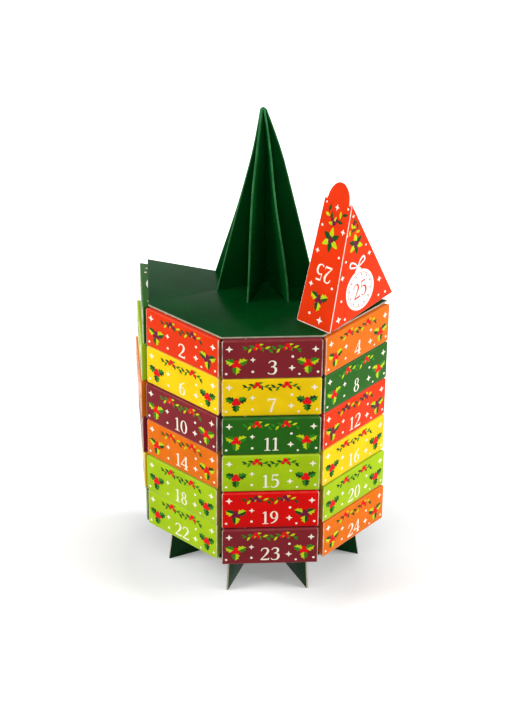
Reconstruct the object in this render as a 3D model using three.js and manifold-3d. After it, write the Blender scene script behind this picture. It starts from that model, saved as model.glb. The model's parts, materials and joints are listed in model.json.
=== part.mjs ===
// Tea advent calendar: a half-octagon tower of wedge cartons under a folded card tree.
//
// The frame is slotted greyboard: a back panel and three dividers stand on their own legs,
// pass through the base plate and carry the top plate on tabs. Between them the cartons
// stand in columns, one on another, with their numbered faces outwards. A folded tree
// plugs into the top plate, and the last carton stands beside it on its broad face.
//
// Millimetres and degrees. +Z is up, +X runs along the flat back, and -Y is the front.
// The origin is on the ground, at the foot of the back panel, on the axis where all
// the dividers meet.

import * as THREE from 'three';
import { mergeVertices } from 'three/addons/utils/BufferGeometryUtils.js';
import Module from 'manifold-3d';

const wasm = await Module();
wasm.setup();

// Layout
const COLUMNS = 4;
const ROWS = 6;
const SECTOR = 45;

// Sheet thicknesses
const BOARD = 1.5;
const CARD = 0.5;
const FIN = 1.6;

// Clearances: SLIP where sheets seat in or on each other, the rest beside and above cartons
const SLIP = 0.3;
const CARTON_SIDE_SLIP = 0.4;
const CARTON_STACK_SLIP = 0.4;

// Wedge carton
const CARTON_WIDTH = 75;
const CARTON_HEIGHT = 32.2;
const CARTON_TIP = 1.6;
const CARTON_FOLD_RADIUS = 1.0;
const TUCK_SLIT_START = 0.7;
const TUCK_SLIT_WIDTH = 0.6;

// How far each carton stands out of its bay at rest, row by row from the top
const PULLED_OUT = [
  [2.4, 0.0, 0.0, 0.0],
  [4.8, 0.0, 0.0, 0.0],
  [6.0, 1.5, 2.5, 0.0],
  [5.2, 1.0, 3.5, 0.5],
  [4.0, 2.0, 5.0, 2.0],
  [2.0, 1.5, 7.0, 3.0],
];

// The cartons of this column also sit askew, as far as the walls of their bays let them
const ASKEW_COLUMN = 0;

// Plates and dividers
const PLATE_INSET = 3.0;
const DIVIDER_INSET = 5.0;
const DIVIDER_INNER = 3.5;
const DIVIDER_TAB_INNER = 8;
const DIVIDER_TAB_WIDTH = 12;
const BASE_TAB_INNER = 20;
const BASE_TAB_WIDTH = 30;

// Legs
const LEG_HEIGHT = 39.5;
const LEG_INNER = 30;
const LEG_WIDTH = 47;
const LEG_SHOULDER = 2.0;
const LEG_FLARE = 7.0;

// Folded tree
const TREE_HEIGHT = 142.5;
const FIN_FOOT = 41;
const FIN_BOW = 1.2;
const TREE_TIP = 3.2;
const TREE_TAB_WIDTH = 12;
const TREE_TAB_DEPTH = 3.0;
const TREE_TAB_SPACE = 3.0;

// The tree's round top: the heights of its rings as angles, then its last, narrow ring
const TIP_ANGLES = [30, 60];
const TIP_REACH = 0.9;
const TIP_THICKNESS = 1.1;

// Last carton, standing on the top plate
const LAST_CARTON_SHIFT = 3.5;
const LAST_CARTON_LEAN = 4.8;
const LAST_CARTON_PINCH = 7.0;
const LID_TAB_WIDTH = 22.5;
const LID_TAB_LENGTH = 14.5;

// Pyramid tea bag
const BAG_SIDE = 46;
const BAG_HEIGHT = 27;
const BAG_CORNER = 7;
const BAG_CORNER_TURN = 50;
const BAG_PLACE = 61;

// Its form from foot to top: share of the full width, share of the full height
const BAG_PROFILE = [
  [0.86, 0],
  [1.0, 0.1],
  [0.94, 0.28],
  [0.78, 0.5],
  [0.55, 0.73],
  [0.28, 0.93],
  [0.12, 1.0],
];

// How finely round shapes are cut, how far cutters reach past a face, and what counts as
// one point
const FIN_LEVELS = 9;
const FOLD_STEPS = 4;
const CARTON_FOLD_STEPS = 3;
const TAB_STEPS = 16;
const BAG_CORNER_POINTS = 3;
const OVERCUT = 1;
const WELD = 1e-4;

const COLOURS = {
  green: 0x0b4a22,
  leaf: 0x3d7a41,
  lime: 0xa5cc2e,
  yellow: 0xf2cf10,
  orange: 0xf5822a,
  scarlet: 0xf23a14,
  red: 0xd80f0f,
  maroon: 0x7a1f33,
  bag: 0xe6dcc4,
};

const ROUGHNESS = {
  board: 0.5,
  card: 0.45,
  bag: 0.9,
};

const CARTON_COLOURS = [
  ['leaf', 'scarlet', 'maroon', 'orange'],
  ['lime', 'yellow', 'yellow', 'leaf'],
  ['orange', 'maroon', 'leaf', 'scarlet'],
  ['maroon', 'orange', 'lime', 'yellow'],
  ['yellow', 'lime', 'red', 'lime'],
  ['leaf', 'lime', 'maroon', 'orange'],
];

// Sizes that follow from the ones above
const rad = THREE.MathUtils.degToRad;
const half = rad(SECTOR / 2);
const cartonDepth = CARTON_WIDTH / 2 / Math.tan(half);
const cartonTipX = CARTON_TIP / 2 / Math.tan(half);
const cartonSide = cartonDepth / Math.cos(half);
const cartonStart = (BOARD / 2 + CARTON_SIDE_SLIP) / Math.sin(half);
const plateEdge = cartonStart + cartonDepth - PLATE_INSET;
const plateRadius = plateEdge / Math.cos(half);
const dividerOuter = plateRadius - DIVIDER_INSET;
const baseTop = LEG_HEIGHT + BOARD;
const rowPitch = CARTON_HEIGHT + CARTON_STACK_SLIP;
const topUnder = baseTop + CARTON_STACK_SLIP + ROWS * rowPitch;
const topTop = topUnder + BOARD;
const bodyBottom = baseTop + SLIP;
const bodyTop = topUnder - SLIP;
const legNeck = LEG_INNER + LEG_WIDTH;
const legFoot = legNeck + LEG_FLARE;
const dividerTabOuter = DIVIDER_TAB_INNER + DIVIDER_TAB_WIDTH;
const treeTabInner = dividerTabOuter + TREE_TAB_SPACE;
const treeTabOuter = treeTabInner + TREE_TAB_WIDTH;
const treeNotchFloor = topUnder - TREE_TAB_DEPTH - SLIP;
const bagCornerTurn = rad(BAG_CORNER_TURN);
const bagReach = BAG_SIDE / Math.sqrt(3) - BAG_CORNER;
const bagFront = bagReach / 2 + BAG_CORNER * Math.cos(Math.PI / 3 - bagCornerTurn);
const finAngles = Array.from({ length: COLUMNS + 1 }, (_, i) => 180 + i * SECTOR);

// Mesh and solid helpers

// A closed geometry as a solid that can be joined and cut.
function toSolid(geometry) {
  geometry.deleteAttribute('normal');
  geometry.deleteAttribute('uv');
  const merged = mergeVertices(geometry, WELD);
  return new wasm.Manifold(new wasm.Mesh({
    numProp: 3,
    vertProperties: new Float32Array(merged.attributes.position.array),
    triVerts: new Uint32Array(merged.index.array),
  }));
}

// A solid back to a geometry.
function toGeometry(solid) {
  const mesh = solid.getMesh();
  const geometry = new THREE.BufferGeometry();
  geometry.setAttribute('position', new THREE.BufferAttribute(mesh.vertProperties, 3));
  geometry.setIndex(new THREE.BufferAttribute(mesh.triVerts, 1));
  geometry.computeVertexNormals();
  return geometry;
}

function join(solids) {
  return solids.reduce((whole, next) => whole.add(next));
}

// A box between two corners.
function block(low, high) {
  const size = high.map((value, i) => value - low[i]);
  const geometry = new THREE.BoxGeometry(...size);
  geometry.translate(...low.map((value, i) => value + size[i] / 2));
  return toSolid(geometry);
}

// A flat outline in X and Y, raised from one height to another.
function prism(shape, bottom, top) {
  const geometry = new THREE.ExtrudeGeometry(shape, {
    depth: top - bottom,
    bevelEnabled: false,
    curveSegments: CARTON_FOLD_STEPS,
  });
  geometry.translate(0, 0, bottom);
  return toSolid(geometry);
}

// A sheet standing upright: its outline is drawn in X and Z, and it is centred on Y = 0.
function uprightSheet(points, thickness) {
  const geometry = new THREE.ExtrudeGeometry(polygon(points), {
    depth: thickness,
    bevelEnabled: false,
  });
  geometry.translate(0, 0, -thickness / 2);
  geometry.rotateX(Math.PI / 2);
  return toSolid(geometry);
}

function polygon(points) {
  return new THREE.Shape(points.map(([x, y]) => new THREE.Vector2(x, y)));
}

// A closed skin through rings of equally many points, with flat ends.
function loft(rings) {
  const count = rings[0].length;
  const positions = rings.flat().flatMap((p) => [p.x, p.y, p.z]);
  const faces = [];
  for (let r = 0; r < rings.length - 1; r += 1) {
    for (let i = 0; i < count; i += 1) {
      const a = r * count + i;
      const b = r * count + ((i + 1) % count);
      faces.push(a, b, b + count, a, b + count, a + count);
    }
  }
  const last = (rings.length - 1) * count;
  for (let i = 1; i < count - 1; i += 1) {
    faces.push(0, i + 1, i);
    faces.push(last, last + i, last + i + 1);
  }
  const geometry = new THREE.BufferGeometry();
  geometry.setAttribute('position', new THREE.Float32BufferAttribute(positions, 3));
  geometry.setIndex(faces);
  return toSolid(geometry);
}

function turned(solid, degrees) {
  return solid.rotate([0, 0, degrees]);
}

function named(name, solid, colour, roughness) {
  const material = new THREE.MeshStandardMaterial({
    color: COLOURS[colour],
    roughness,
    metalness: 0,
  });
  const mesh = new THREE.Mesh(toGeometry(solid), material);
  mesh.name = name;
  return mesh;
}

// Plates

// Half an octagon with its flat side at the back.
function plateOutline(backY) {
  const corners = finAngles.map((angle) => [
    plateRadius * Math.cos(rad(angle)),
    plateRadius * Math.sin(rad(angle)),
  ]);
  const backX = plateRadius - Math.max(0, -backY) * Math.tan(half);
  corners[0] = [-backX, Math.min(0, backY)];
  corners[COLUMNS] = [backX, Math.min(0, backY)];
  if (backY > 0) {
    corners.unshift([-backX, backY]);
    corners.push([backX, backY]);
  }
  return polygon(corners);
}

// The top plate is slotted under each fin, for the divider's tab and the tree's tab.
function topPlate() {
  const slotHalf = FIN / 2 + SLIP;
  const slots = finAngles.map((angle) => turned(block(
    [DIVIDER_TAB_INNER - SLIP, -slotHalf, topUnder - OVERCUT],
    [treeTabOuter + SLIP, slotHalf, topTop + OVERCUT],
  ), angle));
  return prism(plateOutline(BOARD / 2), topUnder, topTop).subtract(join(slots));
}

// The base plate is slotted for the dividers' legs, and its back tabs enter the back panel.
function basePlate() {
  const slotHalf = BOARD / 2 + SLIP;
  const slots = finAngles.slice(1, -1).map((angle) => turned(block(
    [LEG_INNER - SLIP, -slotHalf, LEG_HEIGHT - OVERCUT],
    [legNeck + SLIP, slotHalf, baseTop + OVERCUT],
  ), angle));
  const backY = -BOARD / 2 - SLIP;
  const tabs = [-1, 1].map((side) => {
    const ends = [side * BASE_TAB_INNER, side * (BASE_TAB_INNER + BASE_TAB_WIDTH)];
    return block(
      [Math.min(...ends), backY - OVERCUT, LEG_HEIGHT],
      [Math.max(...ends), BOARD / 2, baseTop],
    );
  });
  return prism(plateOutline(backY), LEG_HEIGHT, baseTop).subtract(join(slots)).add(join(tabs));
}

// Dividers and back panel

// The top edge of a panel from its outer end to its inner one: a notch that takes the
// tree's tab, then a tab that enters the top plate.
function topEdge() {
  return [
    [dividerOuter, bodyTop],
    [treeTabOuter + SLIP, bodyTop],
    [treeTabOuter + SLIP, treeNotchFloor],
    [treeTabInner - SLIP, treeNotchFloor],
    [treeTabInner - SLIP, bodyTop],
    [dividerTabOuter, bodyTop],
    [dividerTabOuter, topTop],
    [DIVIDER_TAB_INNER, topTop],
    [DIVIDER_TAB_INNER, bodyTop],
  ];
}

// A divider stands on one leg. The base plate's slot closes round the leg's neck, between
// the wide body above and a shoulder below.
function divider() {
  const shoulder = LEG_HEIGHT - SLIP;
  return uprightSheet([
    [DIVIDER_INNER, bodyBottom],
    [LEG_INNER, bodyBottom],
    [LEG_INNER, 0],
    [legFoot, 0],
    [legNeck + LEG_SHOULDER, shoulder],
    [legNeck, shoulder],
    [legNeck, bodyBottom],
    [dividerOuter, bodyBottom],
    ...topEdge(),
    [DIVIDER_INNER, bodyTop],
  ], BOARD);
}

// The back panel is as wide as two dividers and reaches the ground all the way across.
function backPanel() {
  const right = [
    [legFoot, 0],
    [legNeck, bodyBottom],
    [dividerOuter, bodyBottom],
    ...topEdge(),
  ];
  const left = right.map(([x, z]) => [-x, z]).reverse();
  const slots = [-1, 1].map((side) => {
    const near = side * (BASE_TAB_INNER - SLIP);
    const far = side * (BASE_TAB_INNER + BASE_TAB_WIDTH + SLIP);
    return block(
      [Math.min(near, far), -BOARD, LEG_HEIGHT - SLIP],
      [Math.max(near, far), BOARD, baseTop + SLIP],
    );
  });
  return uprightSheet([...right, ...left], BOARD).subtract(join(slots));
}

// Folded tree

// One level of a fin: flat sides and a round fold at the outer edge.
function finRing(reach, thickness, height) {
  const r = thickness / 2;
  const ring = [new THREE.Vector3(0, -r, height)];
  for (let i = 0; i <= FOLD_STEPS; i += 1) {
    const angle = -Math.PI / 2 + (Math.PI * i) / FOLD_STEPS;
    ring.push(new THREE.Vector3(reach - r + r * Math.cos(angle), r * Math.sin(angle), height));
  }
  ring.push(new THREE.Vector3(0, r, height));
  return ring;
}

// One fin along +X: it narrows from its foot to the tip with a slight outward bow, and
// ends in a round top.
function fin() {
  const foot = topTop + SLIP;
  const straight = TREE_HEIGHT - TREE_TIP;
  const rings = [];
  for (let i = 0; i <= FIN_LEVELS; i += 1) {
    const t = i / FIN_LEVELS;
    const reach = FIN_FOOT + (TREE_TIP - FIN_FOOT) * t + FIN_BOW * 4 * t * (1 - t);
    rings.push(finRing(reach, FIN, foot + straight * t));
  }
  for (const angle of TIP_ANGLES) {
    const reach = TREE_TIP * Math.cos(rad(angle));
    const height = foot + straight + TREE_TIP * Math.sin(rad(angle));
    rings.push(finRing(reach, FIN, height));
  }
  rings.push(finRing(TIP_REACH, TIP_THICKNESS, foot + TREE_HEIGHT));
  const tab = block(
    [treeTabInner, -FIN / 2, topUnder - TREE_TAB_DEPTH],
    [treeTabOuter, FIN / 2, foot + OVERCUT],
  );
  return loft(rings).add(tab);
}

function foldedTree() {
  const one = fin();
  return join(finAngles.map((angle) => turned(one, angle)));
}

// Wedge cartons

// The carton's outline from above, moved inwards by an inset. Its two sides would meet
// at X = 0, the tip is blunt, and the outer corners are rounded folds.
function wedgeOutline(inset, foldRadius) {
  const halfWidth = (x) => x * Math.tan(half) - inset / Math.cos(half);
  const tip = cartonTipX + inset;
  const face = cartonDepth - inset;
  const edge = halfWidth(face);
  const back = foldRadius * Math.cos(half);
  const shape = new THREE.Shape();
  shape.moveTo(tip, -halfWidth(tip));
  shape.lineTo(face - back, -halfWidth(face - back));
  shape.quadraticCurveTo(face, -edge, face, -edge + foldRadius);
  shape.lineTo(face, edge - foldRadius);
  shape.quadraticCurveTo(face, edge, face - back, halfWidth(face - back));
  shape.lineTo(tip, halfWidth(tip));
  shape.closePath();
  return shape;
}

// The slit at the tip where the side lid's tab is tucked in.
function tuckSlit() {
  const near = cartonTipX + TUCK_SLIT_START;
  const middle = CARTON_HEIGHT / 2;
  return block(
    [near, -CARTON_TIP - OVERCUT, middle - LID_TAB_WIDTH / 2],
    [near + TUCK_SLIT_WIDTH, 0, middle + LID_TAB_WIDTH / 2],
  );
}

// A folded carton: walls of card round a hollow that the tuck slit opens.
function carton() {
  const skin = prism(wedgeOutline(0, CARTON_FOLD_RADIUS), 0, CARTON_HEIGHT);
  const hollow = prism(
    wedgeOutline(CARD, CARTON_FOLD_RADIUS - CARD),
    CARD,
    CARTON_HEIGHT - CARD,
  );
  return skin.subtract(hollow).subtract(tuckSlit());
}

// The strip along the carton's -Y side that a sheet of this thickness takes up, from past
// the tip to a given X.
function sideStrip(thickness, farX, bottom, top) {
  const inner = (x) => -x * Math.tan(half) + thickness / Math.cos(half);
  const outer = (x) => -x * Math.tan(half);
  const nearX = -CARTON_TIP;
  return prism(polygon([
    [nearX, outer(nearX) - CARD],
    [farX, outer(farX) - CARD],
    [farX, inner(farX)],
    [nearX, inner(nearX)],
  ]), bottom, top);
}

// Nothing holds an opened carton's tip apart, so its outer face leans in towards the tip.
function pinched(solid) {
  return solid.warp((point) => {
    const towardsTip = 1 - point[0] / cartonDepth;
    point[2] -= LAST_CARTON_PINCH * towardsTip * (point[2] / CARTON_HEIGHT);
  });
}

// The last carton's body: the same carton with the lid's side left open.
function lastCartonBody() {
  const opening = sideStrip(
    CARD + SLIP,
    cartonDepth - CARD,
    -OVERCUT,
    CARTON_HEIGHT + OVERCUT,
  );
  return pinched(carton().subtract(opening));
}

// Its lid: the side panel, hinged at the broad face, with a round tuck tab past the tip.
// It is drawn flat, with the hinge line at X = 0, and then turned into the carton's side.
function lastCartonLid() {
  const length = (cartonDepth - cartonTipX) / Math.cos(half);
  const start = (CARD + SLIP) / Math.cos(half);
  const middle = CARTON_HEIGHT / 2;
  const tabHalf = LID_TAB_WIDTH / 2;
  const shape = new THREE.Shape();
  shape.moveTo(start, 0);
  shape.lineTo(length, 0);
  shape.lineTo(length, middle - tabHalf);
  shape.ellipse(0, tabHalf, LID_TAB_LENGTH, tabHalf, -Math.PI / 2, Math.PI / 2);
  shape.lineTo(length, CARTON_HEIGHT);
  shape.lineTo(start, CARTON_HEIGHT);
  shape.closePath();
  const geometry = new THREE.ExtrudeGeometry(shape, {
    depth: CARD,
    bevelEnabled: false,
    curveSegments: TAB_STEPS,
  });
  geometry.rotateX(Math.PI / 2);
  geometry.rotateZ(Math.PI - half);
  geometry.translate(cartonDepth, -CARTON_WIDTH / 2, 0);
  return pinched(toSolid(geometry));
}

// Tea bags

// One level of a tea bag: a triangle with full, rounded corners, pointing along -X.
function bagRing(size, corner, height) {
  const ring = [];
  const reach = size / Math.sqrt(3) - corner;
  for (let k = 0; k < 3; k += 1) {
    const heading = Math.PI + (k * 2 * Math.PI) / 3;
    for (let i = 0; i < BAG_CORNER_POINTS; i += 1) {
      const angle = heading + bagCornerTurn * ((2 * i) / (BAG_CORNER_POINTS - 1) - 1);
      ring.push(new THREE.Vector3(
        reach * Math.cos(heading) + corner * Math.cos(angle),
        reach * Math.sin(heading) + corner * Math.sin(angle),
        height,
      ));
    }
  }
  return ring;
}

// A soft pyramid: full near its foot, drawn in to a blunt top.
function teaBag() {
  return loft(BAG_PROFILE.map(([width, level]) => bagRing(
    BAG_SIDE * width,
    BAG_CORNER * width,
    BAG_HEIGHT * level,
  )));
}

// Assembly

function addFrame(calendar) {
  calendar.add(named('top_plate', topPlate(), 'green', ROUGHNESS.board));
  calendar.add(named('base_plate', basePlate(), 'green', ROUGHNESS.board));
  calendar.add(named('back_panel', backPanel(), 'green', ROUGHNESS.board));
  ['divider_left', 'divider_front', 'divider_right'].forEach((name, i) => {
    const panel = named(name, divider(), 'green', ROUGHNESS.board);
    panel.rotation.z = rad(finAngles[i + 1]);
    calendar.add(panel);
  });
  calendar.add(named('folded_tree', foldedTree(), 'green', ROUGHNESS.card));
}

// One carton with its tea bag, seated in a group turned to face out of its column. An
// askew carton has its tip towards one wall of the bay and its outer end towards the other.
function addCarton(calendar, row, column) {
  const number = String(row * COLUMNS + column + 1).padStart(2, '0');
  const bay = new THREE.Group();
  bay.rotation.z = rad(finAngles[column] + SECTOR / 2);
  const pulledOut = PULLED_OUT[row][column];
  const seat = new THREE.Group();
  seat.position.set(cartonStart + pulledOut, 0, topUnder - (row + 1) * rowPitch);
  if (column === ASKEW_COLUMN) {
    const play = CARTON_SIDE_SLIP - SLIP + pulledOut * Math.sin(half);
    seat.position.y = -play / Math.cos(half);
    seat.rotation.z = (2 * play) / cartonSide;
  }
  const colour = CARTON_COLOURS[row][column];
  const box = named(`carton_${number}`, carton(), colour, ROUGHNESS.card);
  const bag = named(`tea_bag_${number}`, teaBag(), 'bag', ROUGHNESS.bag);
  bag.position.set(BAG_PLACE, 0, CARD + SLIP);
  seat.add(box, bag);
  bay.add(seat);
  calendar.add(bay);
}

// The last carton stands over the last column with its tip up, flush with the numbered
// faces below, leaning a little on the edge that carries the lid's hinge.
function addLastCarton(calendar) {
  const column = new THREE.Group();
  column.rotation.z = rad(finAngles[COLUMNS - 1] + SECTOR / 2);
  const stand = new THREE.Group();
  stand.position.set(
    cartonStart + cartonDepth - CARTON_HEIGHT,
    LAST_CARTON_SHIFT - CARTON_WIDTH / 2,
    topTop + SLIP,
  );
  stand.rotation.x = rad(LAST_CARTON_LEAN);
  const upright = new THREE.Group();
  upright.rotation.y = Math.PI / 2;
  upright.position.set(0, CARTON_WIDTH / 2, cartonDepth);
  const bag = named('tea_bag_25', teaBag(), 'bag', ROUGHNESS.bag);
  bag.position.set(cartonDepth - CARD - SLIP - bagFront, 0, CARD + SLIP);
  upright.add(
    named('carton_25', lastCartonBody(), 'scarlet', ROUGHNESS.card),
    named('carton_25_lid', lastCartonLid(), 'scarlet', ROUGHNESS.card),
    bag,
  );
  stand.add(upright);
  column.add(stand);
  calendar.add(column);
}

function teaCalendar() {
  const calendar = new THREE.Group();
  addFrame(calendar);
  for (let row = 0; row < ROWS; row += 1) {
    for (let column = 0; column < COLUMNS; column += 1) {
      addCarton(calendar, row, column);
    }
  }
  addLastCarton(calendar);
  return calendar;
}

export default teaCalendar();
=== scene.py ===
# %% [markdown]
# # A tea advent calendar in folded card
# The real object is paper goods: slotted greyboard under dark green laminate, a folded
# card tree, and twenty-five wedge cartons of printed board with a tea bag in each. The
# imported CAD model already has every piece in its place. This script gives the pieces
# their folds, raw edges, print and materials.

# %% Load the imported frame
import json
import math
from collections import namedtuple

import bmesh
import bpy
import numpy as np
from mathutils import Matrix, Vector

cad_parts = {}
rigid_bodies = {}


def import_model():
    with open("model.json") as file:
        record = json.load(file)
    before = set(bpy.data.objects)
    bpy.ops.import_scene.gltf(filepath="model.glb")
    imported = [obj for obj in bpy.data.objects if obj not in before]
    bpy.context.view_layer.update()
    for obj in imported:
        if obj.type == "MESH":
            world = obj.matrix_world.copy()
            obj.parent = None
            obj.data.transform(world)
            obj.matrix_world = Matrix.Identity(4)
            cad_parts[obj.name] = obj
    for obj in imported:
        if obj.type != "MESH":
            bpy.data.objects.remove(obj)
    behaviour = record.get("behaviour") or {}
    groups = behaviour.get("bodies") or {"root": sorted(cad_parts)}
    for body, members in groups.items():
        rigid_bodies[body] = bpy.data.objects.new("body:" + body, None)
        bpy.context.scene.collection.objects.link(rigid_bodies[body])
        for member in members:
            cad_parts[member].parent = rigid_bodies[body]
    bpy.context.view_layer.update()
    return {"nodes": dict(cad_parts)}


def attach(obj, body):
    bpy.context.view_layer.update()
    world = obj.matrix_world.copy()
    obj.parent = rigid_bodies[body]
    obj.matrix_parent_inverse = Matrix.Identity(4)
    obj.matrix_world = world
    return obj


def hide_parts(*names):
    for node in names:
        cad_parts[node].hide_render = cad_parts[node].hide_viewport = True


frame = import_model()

# %% [markdown]
# ## The sizes that the pieces share
#
# The card pieces are easiest to draw in millimetres, in the carton's own axes: X runs out
# to the numbered face, Z is up, and the blunt tip is near zero. One matrix per carton
# then scales the drawing to metres and puts it in its bay, so nothing is placed by eye.

# %% Sizes in millimetres, and the cartons' places
MM = 0.001
TO_METRES = Matrix.Scale(MM, 4)
COLUMNS = 4
BAY_ANGLE = 45.0
FIRST_BAY = 202.5
HALF = math.radians(BAY_ANGLE / 2)
BOARD = 1.5
CARD = 0.5
SLIP = 0.3
BAY_GAP = 0.4
LEAST_PLAY = 0.1
CARTON_WIDTH = 75.0
CARTON_HEIGHT = 32.2
CARTON_TIP = 1.6
CARTON_DEPTH = CARTON_WIDTH / 2 / math.tan(HALF)
CARTON_SIDE = CARTON_DEPTH / math.cos(HALF)
CARTON_START = (BOARD / 2 + BAY_GAP) / math.sin(HALF)
TIP_X = CARTON_TIP / 2 / math.tan(HALF)
ROW_PITCH = CARTON_HEIGHT + BAY_GAP
TOP_UNDER = 237.0
TOP_TOP = TOP_UNDER + BOARD
LAST_SHIFT = 3.5
LAST_LEAN = math.radians(4.8)
LAST_PINCH = 7.0

# How far each carton stands out of its bay, row by row from the top
PULLED_OUT = [
    [2.4, 0.0, 0.0, 0.0],
    [4.8, 0.0, 0.0, 0.0],
    [6.0, 1.5, 2.5, 0.0],
    [5.2, 1.0, 3.5, 0.5],
    [4.0, 2.0, 5.0, 2.0],
    [2.0, 1.5, 7.0, 3.0],
]


def turn(degrees, axis="Z"):
    return Matrix.Rotation(math.radians(degrees), 4, axis)


def axes_matrix(x_axis, y_axis, z_axis, origin):
    """The matrix that has these axes and this origin as its columns."""
    return Matrix((*zip(x_axis, y_axis, z_axis, origin), (0, 0, 0, 1)))


def bay_of(number):
    """A carton's row and column, both counted from 0."""
    return divmod(number - 1, COLUMNS)


def bay_place(number):
    """The matrix from a carton's own millimetres to its place in the tower, in metres.

    The cartons of the first column sit askew, as far as the walls of the bay let them.
    """
    row, column = bay_of(number)
    pulled = PULLED_OUT[row][column]
    play = LEAST_PLAY + pulled * math.sin(HALF) if column == 0 else 0.0
    height = TOP_UNDER - (row + 1) * ROW_PITCH
    seat = Matrix.Translation((CARTON_START + pulled, -play / math.cos(HALF), height))
    askew = Matrix.Rotation(2 * play / CARTON_SIDE, 4, "Z")
    return TO_METRES @ turn(FIRST_BAY + BAY_ANGLE * column) @ seat @ askew


def standing_place():
    """The same for carton 25, which stands on its broad face and leans a little."""
    out = CARTON_START + CARTON_DEPTH - CARTON_HEIGHT
    foot = Matrix.Translation((out, LAST_SHIFT - CARTON_WIDTH / 2, TOP_TOP + SLIP))
    lean = Matrix.Rotation(LAST_LEAN, 4, "X")
    upright = Matrix.Translation((0, CARTON_WIDTH / 2, CARTON_DEPTH)) @ turn(90, "Y")
    return TO_METRES @ turn(-BAY_ANGLE / 2) @ foot @ lean @ upright


print("carton depth:", round(CARTON_DEPTH, 2), "mm")

# %% [markdown]
# ## The camera
#
# The photograph was taken from above and a little to the right, with a long lens from a
# metre and a half away. The corners of the tower give the angles, and a slight roll of
# the camera keeps the upright folds where they are in the picture.

# %% Camera at the photograph's viewing angle
AZIMUTH = math.radians(18.90)
ELEVATION = math.radians(29.73)
ROLL = math.radians(0.69)
DISTANCE = 1.5364
LENS = 97.93
SENSOR_WIDTH = 36
AIM_ACROSS = -0.00475
AIM_HEIGHT = 0.16928


def new_object(name, data):
    obj = bpy.data.objects.new(name, data)
    bpy.context.scene.collection.objects.link(obj)
    return obj


back = Vector((
    math.sin(AZIMUTH) * math.cos(ELEVATION),
    -math.cos(AZIMUTH) * math.cos(ELEVATION),
    math.sin(ELEVATION),
))
level_right = Vector((math.cos(AZIMUTH), math.sin(AZIMUTH), 0))
level_up = back.cross(level_right)
cam_right = math.cos(ROLL) * level_right + math.sin(ROLL) * level_up
eye = level_right * AIM_ACROSS + Vector((0, 0, AIM_HEIGHT)) + back * DISTANCE

camera_data = bpy.data.cameras.new("camera")
camera_data.lens = LENS
camera_data.sensor_width = SENSOR_WIDTH
camera = new_object("camera", camera_data)
camera.matrix_world = axes_matrix(cam_right, back.cross(cam_right), back, eye)
bpy.context.scene.camera = camera
print("camera at", [round(v, 3) for v in eye])

# %% [markdown]
# ## Materials for card
#
# Coated board is never one flat colour. It has a faint mottle, a fine grain that breaks
# up the gloss, and pale lines on its folds: partly wear where the folds have cracked the
# print, partly a painted highlight where the rounded folds catch the light. The pale
# lines read a `fold` attribute that the meshes carry, so they stay on the folds.

# %% Node helpers
def linear(hex_colour):
    """An sRGB colour written as six hex digits, as the linear colour that nodes use."""
    out = []
    for i in (0, 2, 4):
        c = int(hex_colour[i:i + 2], 16) / 255
        out.append(c / 12.92 if c <= 0.04045 else ((c + 0.055) / 1.055) ** 2.4)
    return (*out, 1.0)


def new_material(name):
    material = bpy.data.materials.new(name)
    material.use_nodes = True
    tree = material.node_tree
    return material, tree, tree.nodes["Principled BSDF"]


def feed(node, inputs):
    """Feeds a node's inputs, by name or index: another node's output or a constant."""
    for key, value in inputs.items():
        if isinstance(value, bpy.types.NodeSocket):
            node.id_data.links.new(value, node.inputs[key])
        else:
            node.inputs[key].default_value = value


def add_node(tree, kind, inputs):
    node = tree.nodes.new(kind)
    feed(node, inputs)
    return node


def add_noise(tree, scale, detail, stretch=None):
    """Noise on Object coordinates. Scale counts features per metre, before any stretch."""
    vector = tree.nodes.new("ShaderNodeTexCoord").outputs["Object"]
    if stretch is not None:
        inputs = {"Vector": vector, "Scale": stretch}
        vector = add_node(tree, "ShaderNodeMapping", inputs).outputs["Vector"]
    inputs = {"Vector": vector, "Scale": scale, "Detail": detail}
    return add_node(tree, "ShaderNodeTexNoise", inputs).outputs["Fac"]


def add_range(value, span, onto=(0, 1)):
    """Stretches one span of values onto another."""
    names = ("Value", "From Min", "From Max", "To Min", "To Max")
    inputs = dict(zip(names, (value, *span, *onto)))
    return add_node(value.id_data, "ShaderNodeMapRange", inputs).outputs["Result"]


def add_mix(factor, first, second):
    node = factor.id_data.nodes.new("ShaderNodeMix")
    node.data_type = "RGBA"
    feed(node, {"Factor": factor, 6: first, 7: second})
    return node.outputs[2]


def add_math(operation, first, second):
    node = add_node(first.id_data, "ShaderNodeMath", {0: first, 1: second})
    node.operation = operation
    return node.outputs[0]


def add_bump(height, strength, distance, under=None):
    inputs = {"Height": height, "Strength": strength, "Distance": distance}
    if under is not None:
        inputs["Normal"] = under
    return add_node(height.id_data, "ShaderNodeBump", inputs).outputs["Normal"]


def shade(colour, amount):
    """The same colour, lighter above 1 and darker below it."""
    return tuple(min(1.0, c * amount) for c in colour[:3]) + (1.0,)


def add_mottle(noise, spread, hex_colour, darkest, lightest):
    """A colour that noise varies between two shades. Spread is its span about a half."""
    colour = linear(hex_colour)
    share = add_range(noise, (0.5 - spread, 0.5 + spread))
    return add_mix(share, shade(colour, darkest), shade(colour, lightest))


def add_wear(base, wear_and_highlight_mask, wear_and_highlight_colour):
    """The base colour, paled towards another along the folds by a mask: partly wear, partly a
    painted highlight.
    """
    fold = base.id_data.nodes.new("ShaderNodeAttribute")
    fold.attribute_name = "fold"
    mask = add_math("MULTIPLY", fold.outputs["Fac"], wear_and_highlight_mask)
    return add_mix(mask, base, linear(wear_and_highlight_colour))


def coating(tree, under=None):
    """The fine grain and the soft gloss that printed board and its inks share."""
    return {
        "Normal": add_bump(add_noise(tree, 2600, 2), 0.12, 0.0001, under),
        "Specular IOR Level": 0.05,
        "Sheen Weight": 0.35,
        "Sheen Roughness": 0.3,
    }


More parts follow.
